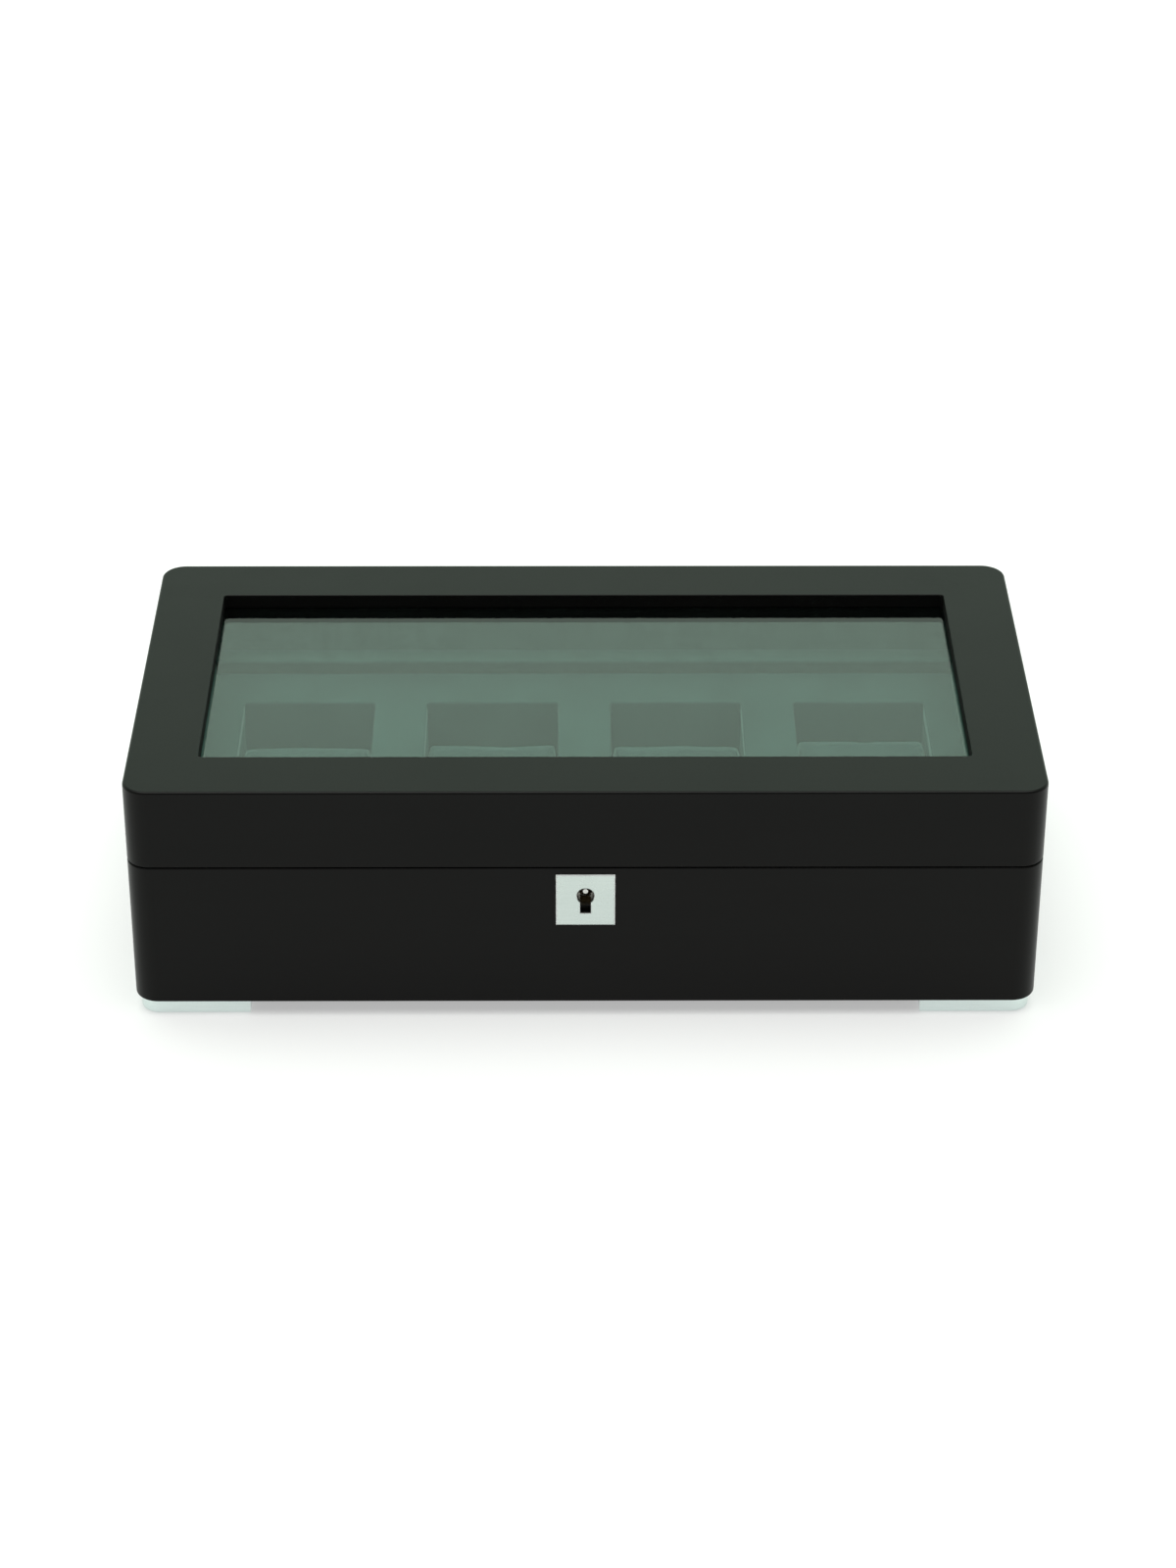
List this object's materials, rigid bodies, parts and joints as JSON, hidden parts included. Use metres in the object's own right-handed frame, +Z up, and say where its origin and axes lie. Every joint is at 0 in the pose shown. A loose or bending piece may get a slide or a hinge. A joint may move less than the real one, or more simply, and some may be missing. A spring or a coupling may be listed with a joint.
{
  "type": "watch box",
  "caption": "Rectangular lacquered watch box with a framed glass lid, keyhole lock plate, corner feet, and a suede insert with a loose cushion in each pocket.",
  "frame": {"origin": "on the surface the box stands on, under the middle of the case", "axes": "+X to the right along the case, +Y to the back (hinge side), +Z up; the keyhole is on the -Y face"},
  "size_m": [0.32, 0.1705, 0.092],
  "materials": {
    "black_lacquer": "satin black lacquer on hardwood",
    "panel_felt": "short black flock on a thin board",
    "polished_metal": "polished nickel plate with a fine brushed grain",
    "cushion_suede": "charcoal microsuede over foam",
    "lining_suede": "charcoal microsuede glued over board",
    "clear_glass": "clear float glass, slightly green at the edge",
    "nickel_hinge": "nickel-plated brass",
    "lock_nickel": "nickel-plated steel sheet",
    "lock_brass": "plain brass, lightly tarnished",
    "lock_steel": "turned steel",
    "screw_steel": "zinc-plated steel"
  },
  "bodies": {
    "case": {"base_body": "black_lacquer", "base_liner_back": "lining_suede", "base_liner_front": "lining_suede", "base_liner_left": "lining_suede", "base_liner_right": "lining_suede", "bottom_panel": "panel_felt", "foot_back_left": "polished_metal", "foot_back_right": "polished_metal", "foot_front_left": "polished_metal", "foot_front_right": "polished_metal", "foot_screws": "screw_steel", "hinge_base_screws": "screw_steel", "hinge_left_base_leaf": "nickel_hinge", "hinge_left_pin": "nickel_hinge", "hinge_right_base_leaf": "nickel_hinge", "hinge_right_pin": "nickel_hinge", "keyhole_plate": "polished_metal", "lock_cap": "lock_brass", "lock_case": "lock_nickel", "lock_post": "lock_steel", "lock_screws": "screw_steel", "lock_spring": "lock_steel", "pocket_floor": "lining_suede", "pocket_rail_back": "lining_suede", "pocket_rail_front": "lining_suede", "pocket_side_walls": "lining_suede", "tray_panel": "lining_suede"},
    "lid": {"glass_retainer": "black_lacquer", "hinge_left_lid_leaf": "nickel_hinge", "hinge_lid_screws": "screw_steel", "hinge_right_lid_leaf": "nickel_hinge", "lid_frame": "black_lacquer", "lid_glass": "clear_glass", "lid_liner_back": "lining_suede", "lid_liner_front": "lining_suede", "lid_liner_left": "lining_suede", "lid_liner_right": "lining_suede", "strike_plate": "lock_nickel", "strike_screws": "screw_steel"},
    "bolt": {"lock_bolt": "lock_brass"},
    "cushion_1": {"watch_cushion_1": "cushion_suede"},
    "cushion_2": {"watch_cushion_2": "cushion_suede"},
    "cushion_3": {"watch_cushion_3": "cushion_suede"},
    "cushion_4": {"watch_cushion_4": "cushion_suede"}
  },
  "joints": [
    {"name": "lid_hinge", "type": "hinge", "parent": "case", "child": "lid", "pos_m": [0, 0.0831, 0.06145], "axis": [-1, 0, 0], "range_deg": [0, 95]},
    {"name": "lock_bolt_slide", "type": "slide", "parent": "case", "child": "bolt", "axis": [-1, 0, 0], "range_m": [0, 0.004]},
    {"name": "cushion_1_lift", "type": "slide", "parent": "case", "child": "cushion_1", "axis": [0, 0, 1], "range_m": [0, 0.03]},
    {"name": "cushion_2_lift", "type": "slide", "parent": "case", "child": "cushion_2", "axis": [0, 0, 1], "range_m": [0, 0.03]},
    {"name": "cushion_3_lift", "type": "slide", "parent": "case", "child": "cushion_3", "axis": [0, 0, 1], "range_m": [0, 0.03]},
    {"name": "cushion_4_lift", "type": "slide", "parent": "case", "child": "cushion_4", "axis": [0, 0, 1], "range_m": [0, 0.03]}
  ]
}
